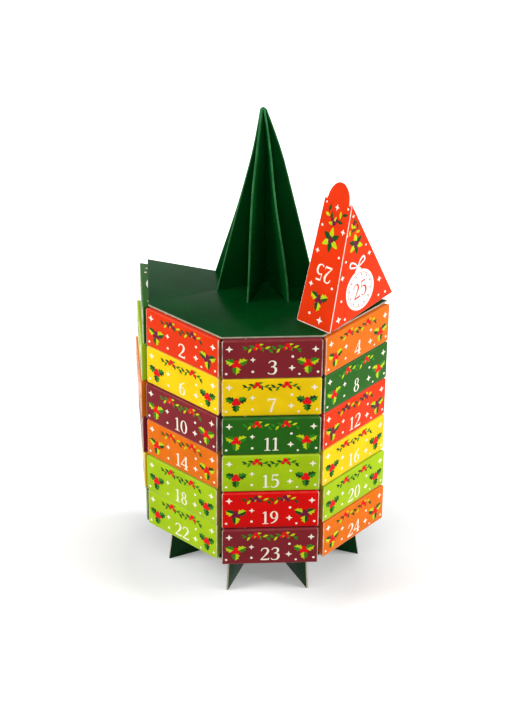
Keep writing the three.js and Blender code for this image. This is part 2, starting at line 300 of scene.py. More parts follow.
# %% Printed board, its inside, and its cut edge
def board_finish(name, hex_colour):
    """Coated folding board in one colour, pale along its folds: partly wear, partly a painted
    highlight.
    """
    material, tree, shader = new_material(name)
    base = add_mottle(add_noise(tree, 55, 4), 0.15, hex_colour, 0.93, 1.05)
    # The pale card colour on the folds, through this noise mask, is partly wear and partly a
    # painted highlight on the rounded folds
    wear_and_highlight_mask = add_range(add_noise(tree, 130, 3), (0.38, 0.66), (0.3, 0.8))
    waves = add_bump(add_noise(tree, 38, 2), 0.25, 0.0012)
    feed(shader, {
        "Base Color": add_wear(base, wear_and_highlight_mask, "efe6d6"),
        "Roughness": add_range(add_noise(tree, 120, 3), (0.3, 0.7), (0.3, 0.46)),
        **coating(tree, waves),
    })
    return material


def raw_card(name, hex_colour, lines):
    """Uncoated card: fibres and fine layers, and no gloss."""
    material, tree, shader = new_material(name)
    layers = add_noise(tree, 240, 4, lines)
    feed(shader, {
        "Base Color": add_mottle(layers, 0.2, hex_colour, 0.78, 1.12),
        "Normal": add_bump(add_noise(tree, 1500, 3), 0.35, 0.0002),
        "Roughness": 0.85,
        "Specular IOR Level": 0.15,
    })
    return material


BOARD_COLOURS = {
    "leaf": "205c0e",
    "lime": "9ebe0c",
    "yellow": "ecc602",
    "orange": "da6a04",
    "scarlet": "dc3202",
    "red": "d20300",
    "maroon": "7a1f26",
}
CARTON_COLOURS = [
    ["leaf", "scarlet", "maroon", "orange"],
    ["lime", "yellow", "yellow", "leaf"],
    ["orange", "maroon", "leaf", "scarlet"],
    ["maroon", "orange", "lime", "yellow"],
    ["yellow", "lime", "red", "lime"],
    ["leaf", "lime", "maroon", "orange"],
]
boards = {key: board_finish(key + "_board", value) for key, value in BOARD_COLOURS.items()}
card_inside = raw_card("card_inside", "d8d2c4", (1, 1, 1))
card_edge = raw_card("card_edge", "f2ebdd", (1, 1, 4))
print("boards:", ", ".join(sorted(boards)))


# %% Printing inks
def ink_finish(name, hex_colour):
    """Ink on coated board: nearly the board's gloss, a little uneven in its cover."""
    material, tree, shader = new_material(name)
    cover = add_mottle(add_noise(tree, 420, 3), 0.2, hex_colour, 0.9, 1.06)
    feed(shader, {"Base Color": cover, "Roughness": 0.4, **coating(tree)})
    return material


INK_COLOURS = {
    "cream": "f3ead6",
    "white": "f6f3ee",
    "lime": "b8cc12",
    "green": "2f7d18",
    "dark_green": "124414",
    "red": "e00a14",
    "maroon": "6e1436",
}
inks = {key: ink_finish("ink_" + key, value) for key, value in INK_COLOURS.items()}

# What the main marks, the light and dark leaves and the berries are printed in, by board
INKS_ON = {
    "leaf": ("cream", "lime", "green", "red"),
    "lime": ("cream", "green", "dark_green", "red"),
    "yellow": ("cream", "green", "dark_green", "red"),
    "orange": ("cream", "lime", "dark_green", "red"),
    "scarlet": ("cream", "lime", "dark_green", "maroon"),
    "red": ("cream", "lime", "dark_green", "maroon"),
    "maroon": ("cream", "lime", "green", "red"),
}

# %% [markdown]
# ## The dark green boards
#
# The plates and dividers are greyboard with green laminate on both faces and bare grey
# edges where the knife went through. A copy of each CAD board keeps its exact slots and
# tabs. Its edges get a hair of bevel, and every face takes the laminate or the raw edge
# by the way it looks.

# %% Laminate and greyboard edge
def laminate(name, hex_colour, gloss):
    """Dark laminate with a slow wave in it, a little paler along its folds: partly wear, partly a
    painted highlight.
    """
    material, tree, shader = new_material(name)
    base = add_mottle(add_noise(tree, 35, 5), 0.15, hex_colour, 0.85, 1.12)
    # The paler green on the folds, through this noise mask, is partly wear and partly a painted
    # highlight
    wear_and_highlight_mask = add_range(add_noise(tree, 140, 3), (0.3, 0.7), (0.25, 0.7))
    gloss_span = (gloss - 0.05, gloss + 0.08)
    waves = add_bump(add_noise(tree, 22, 2), 0.3, 0.0015)
    feed(shader, {
        "Base Color": add_wear(base, wear_and_highlight_mask, "3f8a52"),
        "Roughness": add_range(add_noise(tree, 90, 4), (0.3, 0.7), gloss_span),
        "Normal": add_bump(add_noise(tree, 1400, 3), 0.18, 0.00012, waves),
        "Specular IOR Level": 0.06,
    })
    return material


green_laminate = laminate("green_laminate", "023a13", 0.27)
# Only the tree card carries a fold attribute, so only its rounded fin edges are painted paler
# green: partly wear, partly a painted highlight
green_card = laminate("green_tree_card", "024014", 0.42)
greyboard_edge = raw_card("greyboard_edge", "b0a894", (0.6, 0.6, 6))


# %% Helpers for meshes
def mesh_from(bm, name, materials=()):
    """Writes a bmesh to a new mesh and frees it."""
    mesh = bpy.data.meshes.new(name)
    bm.to_mesh(mesh)
    bm.free()
    for material in materials:
        mesh.materials.append(material)
    return mesh


def split_ngons(bm):
    """Cuts every face of more than four corners into triangles."""
    bmesh.ops.triangulate(bm, faces=[f for f in bm.faces if len(f.verts) > 4])


def soften(bm, least_angle, width):
    """Bevels the edges that turn by more than an angle in radians."""
    sharp = [e for e in bm.edges if len(e.link_faces) == 2 and e.calc_face_angle(0) > least_angle]
    bmesh.ops.bevel(bm, geom=sharp, offset=width, segments=2, profile=0.5, affect="EDGES")


def baked(obj):
    """The object's mesh with its modifiers applied. The modifiers are taken off."""
    bpy.context.view_layer.update()
    evaluated = obj.evaluated_get(bpy.context.evaluated_depsgraph_get())
    mesh = bpy.data.meshes.new_from_object(evaluated)
    obj.modifiers.clear()
    obj.data = mesh
    return mesh


def finish_piece(obj, body, replaced, smooth_angle=32):
    """Smooths what is round, hands the piece to its body, and hides the CAD node that it
    replaces.
    """
    obj.data.shade_smooth()
    obj.data.set_sharp_from_angle(angle=math.radians(smooth_angle))
    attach(obj, body)
    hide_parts(replaced)


# %% Boards from the CAD pieces
DOUBLES = 1e-6
BOARD_BEVEL = 0.00018
SHARP = 0.6
FACING = 0.75


def dress_board(node, face_direction):
    """Laminate on the faces that look along a direction, and raw grey edges elsewhere."""
    bm = bmesh.new()
    bm.from_mesh(frame["nodes"][node].data)
    bmesh.ops.remove_doubles(bm, verts=bm.verts, dist=DOUBLES)
    bmesh.ops.dissolve_limit(bm, angle_limit=math.radians(1), verts=bm.verts, edges=bm.edges)
    soften(bm, SHARP, BOARD_BEVEL)
    for face in bm.faces:
        face.material_index = 0 if abs(face.normal.dot(face_direction)) > FACING else 1
    split_ngons(bm)
    mesh = mesh_from(bm, node + "_board", (green_laminate, greyboard_edge))
    finish_piece(new_object(node + "_board", mesh), "frame", node)


UP = Vector((0, 0, 1))
BACKWARD = Vector((0, 1, 0))
dress_board("top_plate", UP)
dress_board("base_plate", UP)
dress_board("back_panel", BACKWARD)
for node, degrees in (("divider_left", 225), ("divider_front", 270), ("divider_right", 315)):
    dress_board(node, turn(degrees).to_3x3() @ BACKWARD)
print("boards dressed: 6")

# %% [markdown]
# ## The folded tree
#
# Each of the five fins is one sheet folded back on itself, so its outer edge is a round
# fold, not a cut. A closed skin is lofted through many levels. Its outline bows outwards
# a little, and the fins curl sideways, as card does once it has been folded flat. A small
# table holds how far each fold strays, and the tip leans to one side with all of them.

# %% Tree fins
TREE_HEIGHT = 142.5
TREE_FOOT = TOP_TOP + SLIP
FOOT_SAG = 0.28
FIN = 1.6
FIN_FOOT = 41.0
FIN_BOW = 1.2
FIN_LEVELS = 40
FOLD_LENGTH = 0.9
FOLD_POINTS = 9
CURL_GROWTH = 1.6
QUARTERS = (0, 0.25, 0.5, 0.75, 1)

# The rounded tip, and the lean that starts below it
TREE_TIP = 3.2
TIP_ANGLES = (20, 40, 58, 74)
TIP_LEAN = level_right * -3.0
LEAN_FROM = 0.72
LEAN_GROWTH = 1.5

# Start, end and lower edge of the two parts of a tab: one fills the slot in the top plate,
# and one goes on into the notch of the panel below
TREE_TABS = ((20.2, 35.2, TOP_UNDER), (23.0, 35.0, TOP_UNDER - 3.0))

# How far each fin's fold strays sideways at eleven even levels, from the foot to the tip
FIN_CURL = {
    180: (0.0, -1.6, -3.6, -5.4, -6.2, -5.8, -4.6, -3.0, -1.4, -0.4, 0.0),
    225: (0.0, 0.1, 0.3, 0.5, 0.6, 0.6, 0.5, 0.4, 0.2, 0.1, 0.0),
    270: (0.0, -0.5, -1.3, -2.4, -3.2, -4.0, -4.4, -4.4, -3.9, -2.6, -0.6),
    315: (0.0, 0.2, -0.3, -1.2, -2.2, -2.9, -3.1, -2.8, -2.2, -1.2, -0.3),
    360: (0.0, -0.2, -0.5, -0.8, -1.0, -1.0, -0.8, -0.6, -0.4, -0.2, 0.0),
}
# The left end fin is a little narrower than the rest half-way up
FIN_NARROWING = {180: 1.6}


def fin_reach(t, degrees):
    reach = FIN_FOOT + (TREE_TIP - FIN_FOOT) * t + FIN_BOW * 4 * t * (1 - t)
    return reach - FIN_NARROWING.get(degrees, 0.0) * math.sin(math.pi * t)


def curl_at(t, degrees):
    """The fold's sideways stray at a level, read from the table."""
    return float(np.interp(t * 10, range(11), FIN_CURL[degrees]))


def fin_ring(reach, thickness, height, curl, lean):
    """One level of a fin along +X, with its points and how much of a fold each one is."""
    r = thickness / 2
    flat_end = max(reach - r - FOLD_LENGTH, 0.2)
    points = [(flat_end * share, -r, 0.0) for share in QUARTERS]
    for i in range(FOLD_POINTS):
        a = -math.pi / 2 + math.pi * i / (FOLD_POINTS - 1)
        # The fold value peaks at the fin's outer edge, where the card is painted paler: partly
        # wear, partly a painted highlight
        points.append((reach - r + r * math.cos(a), r * math.sin(a), math.cos(a) ** 0.5))
    points += [(flat_end * share, r, 0.0) for share in QUARTERS[::-1]]
    return [
        (x + lean.x, y + curl * (max(x, 0) / reach) ** CURL_GROWTH + lean.y, height, fold)
        for x, y, fold in points
    ]


def fin_rings(degrees):
    """Every level of one fin. Near the tip they all lean the same way."""
    straight = TREE_HEIGHT - TREE_TIP
    back_turn = turn(-degrees).to_3x3()
    rings = []

    def add_level(t, reach, thickness, height):
        tilt = max(0.0, (t - LEAN_FROM) / (1 - LEAN_FROM)) ** LEAN_GROWTH
        lean = back_turn @ TIP_LEAN * tilt
        rings.append(fin_ring(reach, thickness, TREE_FOOT + height, curl_at(t, degrees), lean))

    for i in range(FIN_LEVELS + 1):
        share = i / FIN_LEVELS
        height = straight * share
        sag = FOOT_SAG if i == 0 else 0.0
        add_level(height / TREE_HEIGHT, fin_reach(share, degrees), FIN, height - sag)
    for angle in TIP_ANGLES:
        a = math.radians(angle)
        height = straight + TREE_TIP * math.sin(a)
        reach = max(TREE_TIP * math.cos(a), FIN / 2 + 0.2)
        add_level(height / TREE_HEIGHT, reach, FIN, height)
    add_level(1.0, 1.0, FIN * 0.8, TREE_HEIGHT)
    return rings


def loft(bm, rings, fold_layer, matrix):
    """A closed skin through the rings, carrying the fold value of each point."""
    rows = []
    for ring in rings:
        row = []
        for x, y, z, fold in ring:
            vert = bm.verts.new(matrix @ Vector((x, y, z)))
            vert[fold_layer] = fold
            row.append(vert)
        rows.append(row)
    count = len(rows[0])
    for low, high in zip(rows, rows[1:]):
        for i in range(count):
            j = (i + 1) % count
            bm.faces.new((low[i], low[j], high[j], high[i]))
    bm.faces.new(rows[0][::-1])
    bm.faces.new(rows[-1])


def tab_rings(near, far, bottom):
    """One part of the tab under a fin, from inside the fin's foot to a lower edge."""
    r = FIN / 2
    return [
        [(near, -r, z, 0), (far, -r, z, 0), (far, r, z, 0), (near, r, z, 0)]
        for z in (bottom, TREE_FOOT + 1)
    ]


bm = bmesh.new()
fold_layer = bm.verts.layers.float.new("fold")
for degrees in FIN_CURL:
    place = TO_METRES @ turn(degrees)
    loft(bm, fin_rings(degrees), fold_layer, place)
    for near, far, bottom in TREE_TABS:
        loft(bm, tab_rings(near, far, bottom), fold_layer, place)
split_ngons(bm)
tree_mesh = mesh_from(bm, "folded_tree_card", [green_card])
tree_piece = new_object("folded_tree_card", tree_mesh)
finish_piece(tree_piece, "frame", "folded_tree", 60)
print("tree:", len(tree_mesh.polygons), "faces")

# %% [markdown]
# ## The wedge carton
#
# One folded blank makes every carton: two triangle faces, a broad numbered face and two
# sides. All its edges are folds, so the skin is lofted through rings whose corners are
# rounded and whose first and last rings draw in. The broad face swells a fraction of a
# millimetre, which is what keeps a stack of cartons from looking like one solid.

# %% Carton blank
FOLD_RADIUS = 1.0
LEAST_RADIUS = 0.2
EDGE_RADIUS = 1.3
EDGE_STEPS = 4
# EDGE_FOLD: how much of the pale fold colour, partly wear and partly painted highlight, the
# rounded top and bottom edges take
EDGE_FOLD = 0.05
TIP_LAND = 0.8
FOLD_LAND = 1.5
FACE_POINTS = 11
SWELL = 0.35
SLIT_START = 0.7
SLIT_WIDTH = 0.6
SLIT_REACH = 4
TAB_HALF = 13.2
TAB_LENGTH = 14.5


def swell(y, z):
    """How far the broad face stands out at a point of it."""
    across = 1 - (2 * y / CARTON_WIDTH) ** 2
    upward = 1 - (2 * z / CARTON_HEIGHT - 1) ** 2
    return SWELL * max(0, across) * max(0, upward)


def wedge_ring(inset, radius, z, edge_fold):
    """The carton's outline at one height, as points with a fold value."""
    def half_width(x):
        return x * math.tan(HALF) - inset / math.cos(HALF)
    tip = TIP_X + inset
    face = CARTON_DEPTH - inset
    edge = half_width(face)
    bend = face - radius * math.cos(HALF)
    side = [(x, half_width(x), edge_fold) for x in (tip, tip + TIP_LAND, bend - FOLD_LAND)]
    start = Vector((bend, half_width(bend)))
    corner = Vector((face, edge))
    span = edge - radius
    end = Vector((face, span))
    for t in QUARTERS:
        p = start * (1 - t) ** 2 + corner * 2 * t * (1 - t) + end * t ** 2
        # The rounded upright corners take the full fold value, which paints them pale: partly
        # wear, partly a painted highlight
        side.append((p.x, p.y, max(edge_fold, 0 if t in (0, 1) else 1)))
    across = np.linspace(-span, span, FACE_POINTS)[1:-1]
    middle = [(face + swell(y, z), y, edge_fold) for y in across]
    left = [(x, -y, f) for x, y, f in side]
    return [(x, y, z, f) for x, y, f in left + middle + side[::-1]]


def carton_shell():
    """The outer skin and the hollow inside it, as one closed mesh in millimetres."""
    def edge_ring(k, from_top):
        a = math.pi / 2 * k / EDGE_STEPS
        drawn = EDGE_RADIUS * (1 - math.sin(a))
        rise = EDGE_RADIUS * (1 - math.cos(a))
        z = CARTON_HEIGHT - rise if from_top else rise
        fold = EDGE_FOLD if 0 < k < EDGE_STEPS else 0.0
        ring = wedge_ring(drawn, max(FOLD_RADIUS - drawn, LEAST_RADIUS), z, fold)
        return [(x, y, z, f if k else 0) for x, y, z, f in ring]

    bm = bmesh.new()
    layer = bm.verts.layers.float.new("fold")
    low = [edge_ring(k, False) for k in range(EDGE_STEPS + 1)]
    middle = [
        wedge_ring(0, FOLD_RADIUS, CARTON_HEIGHT * t, 0) for t in (0.2, 0.4, 0.6, 0.8)
    ]
    high = [edge_ring(k, True) for k in range(EDGE_STEPS, -1, -1)]
    loft(bm, low + middle + high, layer, Matrix.Identity(4))
    outside = set(bm.faces)
    flat = wedge_ring(CARD, FOLD_RADIUS - CARD, 0, 0)
    hollow = [[(x, y, z, 0) for x, y, _, _ in flat] for z in (CARD, CARTON_HEIGHT - CARD)]
    loft(bm, hollow, layer, Matrix.Identity(4))
    inside = [f for f in bm.faces if f not in outside]
    for face in inside:
        face.material_index = 1
    bmesh.ops.reverse_faces(bm, faces=inside)
    mesh = mesh_from(bm, "carton_shell", (boards["red"], card_inside, card_edge))
    mesh.attributes.active = mesh.attributes["fold"]
    return mesh


def extrude(bm, faces, depth):
    """Raises flat faces by a depth along Z."""
    raised = bmesh.ops.extrude_face_region(bm, geom=faces)
    top = [v for v in raised["geom"] if isinstance(v, bmesh.types.BMVert)]
    bmesh.ops.translate(bm, verts=top, vec=(0, 0, depth))


def flat_solid(points, depth, base):
    """A flat outline at a base height, raised by a depth along Z."""
    bm = bmesh.new()
    extrude(bm, [bm.faces.new([bm.verts.new((x, y, base)) for x, y in points])], depth)
    bmesh.ops.recalc_face_normals(bm, faces=bm.faces)
    bm.normal_update()
    return bm


def cut(obj, solid):
    """Cuts a solid out of an object, and leaves raw card edges there."""
    cutter = new_object("cutter", mesh_from(solid, "cutter", [card_edge]))
    modifier = obj.modifiers.new("cut", "BOOLEAN")
    modifier.object = cutter
    modifier.solver = "EXACT"
    baked(obj)
    bpy.data.objects.remove(cutter)


# %% Tuck slit, and the finished blank
shell = new_object("carton_master", carton_shell())
near = TIP_X + SLIT_START
far = near + SLIT_WIDTH
slit = [(near, -SLIT_REACH), (far, -SLIT_REACH), (far, 0), (near, 0)]
cut(shell, flat_solid(slit, 2 * TAB_HALF, CARTON_HEIGHT / 2 - TAB_HALF))
CARTON_MESH = shell.data
bpy.data.objects.remove(shell)
print("carton mesh:", len(CARTON_MESH.polygons), "faces")

# %% [markdown]
# ## Print motifs
#
# The cartons carry numbers and winter greenery in flat inks. Everything printed is drawn
# here from a few common motifs: a dot, a four-point star, a plain leaf and its stem, half
# a holly leaf, a plain bauble with its ribbon, and ten digits. Each one is a flat
# outline raised by a hair, so it is a closed solid that an exporter can keep.

# %% Flat outlines and brush strokes
MOTIFS = bpy.data.collections.new("print_motifs")


def raised(outlines):
    """Closed prisms, one unit high, over a list of flat outlines or quad strips."""
    bm = bmesh.new()
    for outline in outlines:
        if isinstance(outline[0][0], tuple):
            strips = [[*a, *b[::-1]] for a, b in zip(outline, outline[1:])]
        else:
            strips = [outline]
        flat = []
        verts = {}
        for strip in strips:
            keys = list(dict.fromkeys((round(x, 5), round(y, 5)) for x, y in strip))
            for key in keys:
                if key not in verts:
                    verts[key] = bm.verts.new((*key, 0))
            if len(keys) > 2:
                flat.append(bm.faces.new([verts[key] for key in keys]))
        extrude(bm, flat, 1)
    bmesh.ops.recalc_face_normals(bm, faces=bm.faces)
    split_ngons(bm)
    return bm


def add_motif(name, outlines):
    """Adds a motif to the collection. The number in its name is its place there."""
    index = len(MOTIFS.objects)
    mesh = mesh_from(raised(outlines), name)
    MOTIFS.objects.link(bpy.data.objects.new(f"motif_{index:02d}_{name}", mesh))
    return index


def circle(radius, count, start=0):
    """Points at even angles, from a start in degrees."""
    angles = [math.radians(start) + 2 * math.pi * i / count for i in range(count)]
    return [(radius * math.cos(a), radius * math.sin(a)) for a in angles]


def smooth_points(points, steps):
    """A Catmull-Rom curve through points of any size."""
    pts = [Vector(p) for p in points]
    if len(pts) < 3:
        return pts
    pts = [2 * pts[0] - pts[1], *pts, 2 * pts[-1] - pts[-2]]
    out = []
    for a, b, c, d in zip(pts, pts[1:], pts[2:], pts[3:]):
        for i in range(steps):
            t = i / steps
            square = (2 * a - 5 * b + 4 * c - d) * t ** 2
            cube = (3 * b - a - 3 * c + d) * t ** 3
            out.append(0.5 * (2 * b + (c - a) * t + square + cube))
    out.append(pts[-2])
    return out


def stroke(*points):
    """A pen stroke through (x, y, width) points, as pairs across it."""
    line = smooth_points(points, 5)
    pairs = []
    for i, p in enumerate(line):
        before, after = line[max(i - 1, 0)], line[min(i + 1, len(line) - 1)]
        along = Vector((after.x - before.x, after.y - before.y)).normalized()
        side = Vector((-along.y, along.x)) * p.z / 2
        pairs.append(((p.x + side.x, p.y + side.y), (p.x - side.x, p.y - side.y)))
    return pairs


def oval(cx, cy, rx, ry, ix, iy, count=24):
    """A ring between two ovals, thick at its sides and thin at its top and foot."""
    pairs = []
    for i in range(count + 1):
        a = 2 * math.pi * i / count
        c, s = math.cos(a), math.sin(a)
        pairs.append(((cx + rx * c, cy + ry * s), (cx + ix * c, cy + iy * s)))
    return pairs


# %% Small motifs
STAR_WAIST = 0.21
LEAF_EDGE = [(0.2, 0.13), (0.5, 0.19), (0.8, 0.11)]
HOLLY_EDGE = [
    (0.08, 0.1), (0.2, 0.28), (0.33, 0.19), (0.48, 0.36), (0.6, 0.21), (0.76, 0.28), (0.85, 0.1)
]


def below(edge):
    return [(x, -y) for x, y in edge]


DOT = add_motif("dot", [circle(0.5, 10)])
STAR = add_motif("star", [[
    (x * r, y * r) for (x, y), r in zip(circle(1, 8), (0.5, STAR_WAIST) * 4)
]])
LEAF = add_motif("leaf", [[(0, 0), *below(LEAF_EDGE), (1, 0), *LEAF_EDGE[::-1]]])
STEM = add_motif("stem", [[(0, -0.5), (1, -0.5), (1, 0.5), (0, 0.5)]])
HOLLY_UPPER = add_motif("holly_upper", [[(0, 0), (1, 0), *HOLLY_EDGE[::-1]]])
HOLLY_LOWER = add_motif("holly_lower", [[(1, 0), (0, 0), *below(HOLLY_EDGE)]])
BAUBLE = add_motif("bauble", [circle(0.5, 48)])
BAUBLE_RING = add_motif("bauble_ring", [oval(0, 0, 0.5, 0.5, 0.485, 0.485, 48)])
RIBBON = add_motif("ribbon", [
    stroke(
        (0, 0, 0.06), (0.25, 0.3, 0.09), (0.55, 0.44, 0.11), (0.64, 0.2, 0.1),
        (0.3, 0.05, 0.08), (0, 0, 0.06),
    ),
    stroke((0, 0, 0.06), (0.2, -0.2, 0.09), (0.28, -0.42, 0.1)),
])
BAR = add_motif("bar", [[(-0.5, 0), (0.5, 0), (0.5, 1), (-0.5, 1)]])

# %% Digits drawn with a broad pen
def pen(*points):
    """A stroke in hundredths of the digit's height."""
    return stroke(*[[v / 100 for v in point] for point in points])


def level(left, right, y, width):
    return pen((left, y, width), (right, y, width))


def ring(*sizes):
    return oval(*[v / 100 for v in sizes])


DIGITS = [
    [ring(0, 50, 29, 50, 15.5, 45.5)],
    [pen((2, 2, 13), (2, 97, 13)), level(-17, 21, 2.5, 5), pen((-16, 84, 4), (0, 94, 9))],
    [
        pen(
            (-24, 74, 7), (-16, 90, 7), (0, 97, 7), (16, 91, 11), (21, 74, 15), (14, 54, 13),
            (-2, 32, 8), (-24, 7, 6),
        ),
        level(-27, 27, 5.5, 11), pen((25, 6, 7), (29, 20, 3)),
    ],
    [
        pen(
            (-22, 82, 7), (-12, 94, 6), (3, 97, 7), (17, 88, 13), (18, 72, 14), (8, 59, 8),
            (-8, 54, 5),
        ),
        pen(
            (-8, 54, 5), (10, 53, 8), (21, 42, 14), (22, 24, 15), (13, 7, 11), (-3, 2, 6),
            (-18, 4, 6), (-26, 13, 8),
        ),
    ],
    [
        pen((13, 98, 5), (-30, 31, 5)), level(-33, 30, 28, 8), pen((12, 100, 13), (12, 2, 13)),
        level(-4, 28, 2.5, 5),
    ],
    [
        level(-15, 22, 95, 10), pen((-14, 97, 5), (-19, 55, 5)),
        pen(
            (-19, 55, 5), (-2, 62, 8), (15, 54, 13), (21, 36, 15), (16, 15, 13), (2, 3, 8),
            (-14, 2, 6), (-25, 10, 8),
        ),
    ],
    [
        ring(2, 30, 26, 30, 13, 25.5),
        pen((22, 96, 5), (3, 86, 8), (-12, 68, 12), (-18, 45, 13), (-17, 25, 12)),
    ],
    [
        level(-26, 27, 94, 11), pen((-24, 96, 5), (-27, 80, 3)),
        pen((25, 94, 6), (8, 55, 10), (-5, 0, 14)),
    ],
    [ring(0, 75.5, 20, 24.5, 9.5, 20), ring(0, 27.5, 26, 27.5, 13.5, 22.5)],
    [
        ring(-2, 70, 26, 30, 13, 25.5),
        pen((-22, 4, 5), (-3, 14, 8), (12, 32, 12), (18, 55, 13), (17, 75, 12)),
    ],
]
DIGIT = [add_motif(f"digit_{i}", strokes) for i, strokes in enumerate(DIGITS)]

# %% [markdown]
# ## Layouts
#
# A layout is a list of marks: which motif, where on the face, how far it is turned, how
# large, how high above the board, and in which of the six inks. The broad face has its
# number in the middle, a leafy garland with berries under its upper fold, a holly sprig
# at each end, and stars between them.

# %% Marks and the groups of them
Mark = namedtuple("Mark", "motif u v turned along across height ink")
MAIN, LIGHT, DARK, FRUIT, GROUND, PALE = range(6)
LOW, HIGH, HIGHER = 0.055, 0.085, 0.115
NARROW_DIGITS = {"1": 0.52}
DIGIT_ADVANCE = 0.68


def mark(motif, u, v, size, degrees=0.0, ink=MAIN, height=LOW):
    along, across = size if isinstance(size, tuple) else (size, size)
    return Mark(motif, u, v, math.radians(degrees), along, across, height, ink)


def scatter(motif, spots, ink=MAIN, height=LOW):
    """One motif at several spots, each given as (u, v, size)."""
    return [mark(motif, u, v, size, 0, ink, height) for u, v, size in spots]


def berries(u, v, radius, size, start, height, count=3):
    """Dots at even angles round a point."""
    spots = [(u + x, v + y, size) for x, y in circle(radius, count, start)]
    return scatter(DOT, spots, FRUIT, height)


def holly(u, v, angles, length, flip=1):
    """Leaves in two tones round three berries."""
    marks = []
    for angle in angles:
        a = 90 + flip * (angle - 90)
        size = (length, length * 1.05 * flip)
        marks.append(mark(HOLLY_UPPER, u, v, size, a, LIGHT))
        marks.append(mark(HOLLY_LOWER, u, v, size, a, DARK))
    return marks + berries(u, v, 1.9, 3.8, 90, HIGH)


def twig(points, leaf=4.4, gap=2.5):
    """A stem along a curve, with leaves on its two sides in turn."""
    line = smooth_points([(x, y, 0) for x, y in points], 6)
    marks = []
    travelled = gap
    side = 1
    for p, q in zip(line, line[1:]):
        heading = math.degrees(math.atan2(q.y - p.y, q.x - p.x))
        marks.append(mark(STEM, p.x, p.y, ((q - p).length * 1.1, 0.45), heading, DARK))
        travelled += (q - p).length
        if travelled >= gap:
            ink = LIGHT if side > 0 else DARK
            size = (leaf, leaf * 1.1)
            marks.append(mark(LEAF, p.x, p.y, size, heading + side * 40, ink, HIGH))
            travelled = 0
            side = -side
    return marks


def twig_pair(points, *sizes):
    """A twig left of the middle line, and then the same one right of it."""
    left = [(-x, y) for x, y in points]
    return twig(left, *sizes) + twig(points, *sizes)


def rosette(u, v, length):
    """Six leaves in two tones round three berries."""
    marks = []
    for k in range(6):
        ink, height = (DARK, HIGH) if k % 2 else (LIGHT, LOW)
        marks.append(mark(LEAF, u, v, (length, length * 1.25), 90 + 60 * k, ink, height))
    return marks + berries(u, v, 1.7, 3.3, 120, HIGHER)


def number(text, u, v, height, ink=MAIN, degrees=0.0, layer=LOW):
    """Digits side by side, centred on a point of their base line."""
    widths = [NARROW_DIGITS.get(c, DIGIT_ADVANCE) * height for c in text]
    x = -sum(widths) / 2
    a = math.radians(degrees)
    marks = []
    for c, width in zip(text, widths):
        cx = x + width / 2
        spot = (u + cx * math.cos(a), v + cx * math.sin(a))
        marks.append(mark(DIGIT[int(c)], *spot, height, degrees, ink, layer))
        x += width
    return marks


# %% The broad face
def broad_face(text):
    marks = number(text, 0, 3.7, 11.8)
    marks += twig_pair([(11, 28.4), (5.5, 25.6), (0, 24.8)])
    for end in (-1, 1):
        u = end * 11
        marks += twig([(u, 28.4), (end * 15.5, 26.0), (end * 21.5, 24.9)])
        trio = ((u, 28.0, 3.9), (u - 2.2, 25.6, 2.6), (u + 2.2, 25.6, 2.6))
        marks += scatter(DOT, trio, FRUIT, HIGHER)
    marks += holly(-26.5, 12.6, (156, 24, 268), 9.0)
    marks += holly(26.5, 12.6, (156, 24, 268), 9.0, -1)
    marks += scatter(STAR, (
        (-31.8, 25.4, 5.6), (31.8, 24.6, 5.6), (14.6, 9.0, 5.4), (-14.4, 16.4, 4.4),
    ))
    return marks + scatter(DOT, (
        (15.0, 18.6, 2.1), (-14.4, 6.2, 2.1), (-34.0, 4.6, 2.0), (34.0, 5.2, 2.0),
        (20.2, 3.6, 1.8),
    ))


# %% The triangle faces
def triangle_face(text):
    marks = [mark(BAUBLE, 0, 20, 32, 0, PALE), mark(BAUBLE_RING, 0, 20, 27.4, 0, GROUND, HIGH)]
    marks += number(text, 0, 14.2, 12.0, GROUND, 0, HIGH)
    marks += berries(0, 20, 11.9, 1.4, 15, HIGH, 12)
    marks.append(mark(BAR, 0, 35.6, (4.6, 2.4), 0, PALE))
    marks += [mark(RIBBON, 0, 39.2, (along, 13), 0, PALE) for along in (13, -13)]
    marks += rosette(0, 58.0, 8.4)
    marks += twig_pair([(5.8, 66.6), (3.0, 69.4), (0, 74.5)], 4.8, 2.6)
    marks += scatter(DOT, [(0, 74.8, 3.0)], FRUIT, HIGHER)
    marks += scatter(STAR, (
        (-26.6, 6.8, 6.0), (22.6, 18.5, 5.4), (-18.0, 37.5, 4.8), (14.0, 44.5, 4.4),
        (0, 80.4, 3.4),
    ))
    return marks + scatter(DOT, (
        (-19.6, 4.0, 2.1), (28.0, 5.2, 2.1), (20.2, 6.0, 1.8), (-21.6, 20.0, 2.0),
        (-12.6, 48.6, 1.9), (11.0, 52.6, 1.7), (-8.4, 68.0, 1.4),
    ))


# %% The lid of carton 25
def lid_face(text):
    marks = number(text, 0, 47.5, 12.4, MAIN, 180)
    marks += holly(0, 21.5, (24, 156, 268), 9.4)
    marks += rosette(0, 67.0, 9.6)
    marks += twig_pair([(0, 79.0), (5.0, 83.0), (9.0, 89.0)], 6.0, 3.2)
    trio = ((0, 79.6, 4.0), (-2.6, 82.0, 2.8), (2.6, 82.0, 2.8))
    marks += scatter(DOT, trio, FRUIT, HIGHER)
    marks += scatter(STAR, (
        (4.5, 6.8, 6.0), (-10.4, 31.0, 4.8), (11.4, 75.4, 5.0), (-11.2, 56.4, 4.6),
        (0.2, 91.4, 5.0),
    ))
    return marks + scatter(DOT, (
        (-6.0, 9.4, 2.1), (10.6, 33.0, 2.1), (-12.2, 75.6, 2.2), (12.0, 56.6, 2.0),
        (12.6, 93.0, 1.8), (-12.6, 93.0, 1.8),
    ))


print("marks:", len(broad_face("25")), len(triangle_face("25")), len(lid_face("25")))


# %% [markdown]
# ## Printing with Geometry Nodes
#
# A face carries dozens of marks, and they only differ in place, turn, size and ink.
# Geometry Nodes put one motif on each point of a small point mesh, once per ink, and the
# tree ends by making the instances real and setting their ink as a material.

# %% The print tree
INK_SOCKETS = (
    "Main ink", "Light leaf ink", "Dark leaf ink", "Berry ink", "Ground colour", "Pale ink"
)


